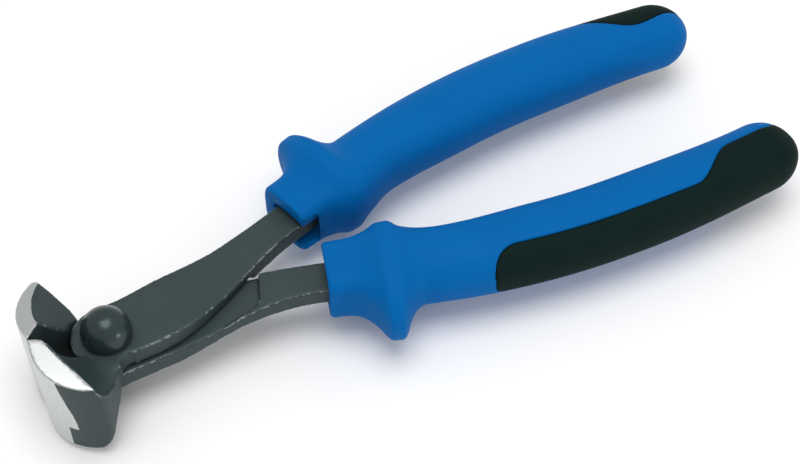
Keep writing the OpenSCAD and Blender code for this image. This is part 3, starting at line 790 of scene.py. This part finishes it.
def forged_steel(finish):
    """Forged carbon steel under hot black oxide, ground bright on the cutting faces, worn on its edges."""
    material, tree, shader, coords = new_material("blackened_forged_steel")
    cloud, oxide = clouded(tree, coords, 6 * MM, 5.0, finish.oxide_shade, finish.oxide)
    # Forging leaves a skin of shallow pits about 0.8 mm apart
    pits = add_node(tree, "ShaderNodeTexNoise", {"Vector": coords, "Scale": 1 / (0.8 * MM), "Detail": 4.0})
    # The wheel's marks run along the cutting edge, closer than shows; 0.25 mm is drawn
    along = add_node(tree, "ShaderNodeMapping", {"Vector": coords, "Scale": (1.0, 1.0, 0.06)})
    marks = add_node(tree, "ShaderNodeTexNoise", {
        "Vector": along.outputs["Vector"], "Scale": 1 / (0.25 * MM), "Detail": 3.0,
    })
    bright = add_node(tree, "ShaderNodeMix", {
        "Factor": marks.outputs["Fac"], "A": rgba(finish.bright_shade), "B": rgba(finish.bright),
    }, data_type="RGBA")
    # The ground faces end in a slightly ragged line
    ground = add_node(tree, "ShaderNodeAttribute", attribute_name="ground")
    ragged = add_node(tree, "ShaderNodeTexNoise", {
        "Vector": coords, "Scale": 1 / (2.5 * MM), "Detail": 2.0,
    })
    shifted = add_node(tree, "ShaderNodeMath", {
        0: ragged.outputs["Fac"], 1: 0.5, 2: ground.outputs["Fac"],
    }, operation="MULTIPLY_ADD")
    is_ground = add_node(tree, "ShaderNodeMapRange", {
        "Value": shifted.outputs["Value"], "From Min": 0.2, "From Max": 0.32,
    })
    # The oxide is rubbed off along the edges, in dots between the pits
    wear = add_node(tree, "ShaderNodeAttribute", attribute_name="wear")
    rubbed = add_node(tree, "ShaderNodeMath", {
        0: wear.outputs["Fac"], 1: cloud,
    }, operation="MULTIPLY")
    dotted = add_node(tree, "ShaderNodeMath", {
        0: rubbed.outputs["Value"], 1: pits.outputs["Fac"],
    }, operation="MULTIPLY")
    is_worn = add_node(tree, "ShaderNodeMapRange", {
        "Value": dotted.outputs["Value"], "From Min": 0.046, "From Max": 0.062, "To Max": 0.6,
    })
    rubbed_oxide = add_node(tree, "ShaderNodeMix", {
        "Factor": is_worn.outputs["Result"], "A": oxide, "B": rgba(finish.worn),
    }, data_type="RGBA")
    tint = add_node(tree, "ShaderNodeMix", {
        "Factor": is_ground.outputs["Result"],
        "A": rubbed_oxide.outputs["Result"], "B": bright.outputs["Result"],
    }, data_type="RGBA")
    tree.links.new(tint.outputs["Result"], shader.inputs["Base Color"])
    dull = add_node(tree, "ShaderNodeMapRange", {
        "Value": pits.outputs["Fac"], "To Min": 0.44, "To Max": 0.6,
    })
    sheen = add_node(tree, "ShaderNodeMapRange", {
        "Value": marks.outputs["Fac"], "To Min": 0.24, "To Max": 0.36,
    })
    gloss = add_node(tree, "ShaderNodeMix", {
        "Factor": is_ground.outputs["Result"], "A": dull.outputs["Result"], "B": sheen.outputs["Result"],
    }, data_type="FLOAT")
    tree.links.new(gloss.outputs["Result"], shader.inputs["Roughness"])
    metal = add_node(tree, "ShaderNodeMapRange", {
        "Value": is_ground.outputs["Result"], "To Min": 0.35, "To Max": 1.0,
    })
    tree.links.new(metal.outputs["Result"], shader.inputs["Metallic"])
    height = add_node(tree, "ShaderNodeMix", {
        "Factor": is_ground.outputs["Result"], "A": pits.outputs["Fac"], "B": marks.outputs["Fac"],
    }, data_type="FLOAT")
    bump = add_node(tree, "ShaderNodeBump", {
        "Strength": 0.22, "Distance": 0.08 * MM, "Height": height.outputs["Result"],
    })
    tree.links.new(bump.outputs["Normal"], shader.inputs["Normal"])
    return material


def rivet_steel(finish):
    """Headed steel under black oxide: smoother than the forgings, so its dome shows a clear light."""
    material, tree, shader, coords = new_material("blackened_headed_steel")
    cloud, tint = clouded(tree, coords, 3 * MM, 4.0, finish.rivet_shade, finish.rivet)
    tree.links.new(tint, shader.inputs["Base Color"])
    gloss = add_node(tree, "ShaderNodeMapRange", {"Value": cloud, "To Min": 0.22, "To Max": 0.3})
    tree.links.new(gloss.outputs["Result"], shader.inputs["Roughness"])
    shader.inputs["Metallic"].default_value = 0.35
    return material


def painted_floor(finish):
    """Matt white paint."""
    material, _, shader, _ = new_material("matt_white_paint")
    shader.inputs["Base Color"].default_value = rgba(finish.floor)
    shader.inputs["Roughness"].default_value = 0.8
    return material


class NIPPERS_OT_levers(bpy.types.Operator):
    """Forge the two levers with their jaws"""

    bl_idname = "nippers.levers"
    bl_label = "Levers"

    def execute(self, context):
        sizes = context.scene.nippers_lever
        steel = forged_steel(context.scene.nippers_finish)
        for name, half in HALVES.items():
            node = name + "_lever"
            bm = lever_mesh(sizes, node, half)
            new_object("forged_" + node, bm, name + "_half", steel, node)
        return {"FINISHED"}


class NIPPERS_OT_rivet(bpy.types.Operator):
    """Turn the rivet with its two domed heads"""

    bl_idname = "nippers.rivet"
    bl_label = "Rivet"

    def execute(self, context):
        z = context.scene.nippers_lever
        soft = z.head_soft
        crown = math.acos(z.head_flat_r / z.head_r)
        bm = bmesh.new()
        outline = []
        for side, gap in ((-1, z.end_play), (1, 0.0)):
            base = z.plate_t + gap
            rim = base + z.head_rim_h
            head = [(z.shank_r, base), (z.head_r - soft, base)]
            head += [(z.head_r - soft + soft * math.sin(t), base + soft - soft * math.cos(t))
                     for t in (math.pi / 2 * i / z.rim_steps for i in range(1, z.rim_steps + 1))]
            head += [(z.head_r * math.cos(t), rim + z.head_r * math.sin(t))
                     for t in (crown * i / z.crown_steps for i in range(z.crown_steps))]
            top = rim + z.head_r * math.sin(crown)
            # One narrow face rounds the flat's edge
            head += [(z.head_flat_r + soft / 3, top - soft / 9), (z.head_flat_r, top), (0.0, top)]
            places = [(r, side * up) for r, up in head]
            outline += places[::-1] if side < 0 else places
        verts = [bm.verts.new(PIVOT + Vector((r, 0.0, up))) for r, up in outline]
        edges = [bm.edges.new(pair) for pair in zip(verts, verts[1:])]
        bmesh.ops.spin(bm, geom=verts + edges, cent=PIVOT, axis=(0, 0, 1), angle=2 * math.pi,
                       steps=z.head_steps, use_merge=True)
        bmesh.ops.remove_doubles(bm, verts=bm.verts, dist=MERGE_DIST)
        steel = rivet_steel(context.scene.nippers_finish)
        new_object("domed_rivet", bm, "over_half", steel, "pivot_rivet")
        return {"FINISHED"}


class NIPPERS_OT_sleeves(bpy.types.Operator):
    """Mould the two grip sleeves with their guards"""

    bl_idname = "nippers.sleeves"
    bl_label = "Sleeves"

    def execute(self, context):
        plastic = moulded_grip(context.scene.nippers_finish)
        for name, half in HALVES.items():
            bm = sleeve_mesh(GripShape(context.scene.nippers_grip, half))
            node = name + "_sleeve"
            new_object("moulded_" + node, bm, name + "_half", plastic, node)
        return {"FINISHED"}


class NIPPERS_OT_pads(bpy.types.Operator):
    """Mould the two soft pads"""

    bl_idname = "nippers.pads"
    bl_label = "Soft pads"

    def execute(self, context):
        z = context.scene.nippers_grip
        elastomer = soft_pad(context.scene.nippers_finish)
        for name, half in HALVES.items():
            bm = pad_mesh(GripShape(z, half))
            node = name + "_inlay"
            piece = new_object("soft_" + node, bm, name + "_half", elastomer, node)
            wall = piece.modifiers.new("wall", "SOLIDIFY")
            wall.thickness = z.pad_t
            wall.offset = -1.0
        return {"FINISHED"}


class NIPPERS_OT_stage(bpy.types.Operator):
    """Set the floor, the lights and the camera"""

    bl_idname = "nippers.stage"
    bl_label = "Stage"

    def execute(self, context):
        z = context.scene.nippers_stage
        bm = bmesh.new()
        bmesh.ops.create_grid(bm, x_segments=2, y_segments=2, size=z.floor_half)
        mesh = bpy.data.meshes.new("floor")
        bm.to_mesh(mesh)
        bm.free()
        mesh.materials.append(painted_floor(context.scene.nippers_finish))
        floor = bpy.data.objects.new("floor", mesh)
        context.scene.collection.objects.link(floor)

        def area_light(name, place, size, power):
            light = bpy.data.lights.new(name, "AREA")
            light.shape = "DISK"
            light.size = size
            light.energy = power
            lamp = bpy.data.objects.new(name, light)
            lamp.location = place
            lamp.rotation_euler = (-Vector(place)).to_track_quat("-Z", "Y").to_euler()
            context.scene.collection.objects.link(lamp)

        area_light("key", z.key_place, z.key_size, z.key_power)
        area_light("glint", z.glint_place, z.glint_size, z.glint_power)

        world = bpy.data.worlds.new("pale studio")
        world.use_nodes = True
        context.scene.world = world
        # The plain transform shows the finishes in their own colours
        context.scene.view_settings.view_transform = "Standard"
        sky = world.node_tree.nodes["Background"]
        sky.inputs["Color"].default_value = rgba((1.0, 1.0, 1.0))
        sky.inputs["Strength"].default_value = z.sky

        right = Vector((math.cos(z.turn), -math.sin(z.turn), 0.0))
        away = Vector((math.sin(z.turn), math.cos(z.turn), 0.0))
        forward = math.cos(z.tilt_down) * away - Vector((0.0, 0.0, math.sin(z.tilt_down)))
        down = -(math.sin(z.tilt_down) * away + Vector((0.0, 0.0, math.cos(z.tilt_down))))
        rolled_right = math.cos(z.roll) * right + math.sin(z.roll) * down
        rolled_up = math.sin(z.roll) * right - math.cos(z.roll) * down
        lens = bpy.data.cameras.new("camera")
        lens.lens = z.lens
        lens.sensor_width = SENSOR_W
        lens.clip_start = z.clip_start
        camera = bpy.data.objects.new("camera", lens)
        turn = Matrix((rolled_right, rolled_up, -forward)).transposed()
        camera.matrix_world = Matrix.Translation(PIVOT + Vector(z.camera_place)) @ turn.to_4x4()
        context.scene.collection.objects.link(camera)
        context.scene.camera = camera
        return {"FINISHED"}


PIECES = (NIPPERS_OT_levers, NIPPERS_OT_rivet, NIPPERS_OT_sleeves, NIPPERS_OT_pads, NIPPERS_OT_stage)


class NIPPERS_PT_panel(bpy.types.Panel):
    """Lists the pieces and their sizes"""

    bl_idname = "NIPPERS_PT_panel"
    bl_label = "End Cutting Nippers"
    bl_space_type = "VIEW_3D"
    bl_region_type = "UI"
    bl_category = "Nippers"

    def draw(self, context):
        for piece in PIECES:
            self.layout.operator(piece.bl_idname)
        for name in GROUPS:
            box = self.layout.box()
            group = getattr(context.scene, name)
            for key in group.bl_rna.properties.keys():
                if key not in ("name", "rna_type"):
                    box.prop(group, key)


GROUPS = {
    "nippers_grip": NippersGripSizes,
    "nippers_lever": NippersLeverSizes,
    "nippers_finish": NippersFinishes,
    "nippers_stage": NippersStage,
}
CLASSES = (*GROUPS.values(), *PIECES, NIPPERS_PT_panel)


def register():
    """Registers the classes and their settings."""
    for cls in CLASSES:
        bpy.utils.register_class(cls)
    for name, group in GROUPS.items():
        setattr(bpy.types.Scene, name, PointerProperty(type=group))


def unregister():
    """Removes the classes and their settings."""
    for name in GROUPS:
        delattr(bpy.types.Scene, name)
    for cls in reversed(CLASSES):
        bpy.utils.unregister_class(cls)


def main():
    """Makes every piece and the stage."""
    register()
    bpy.ops.nippers.levers()
    bpy.ops.nippers.rivet()
    bpy.ops.nippers.sleeves()
    bpy.ops.nippers.pads()
    bpy.ops.nippers.stage()


if __name__ == "__main__":
    main()
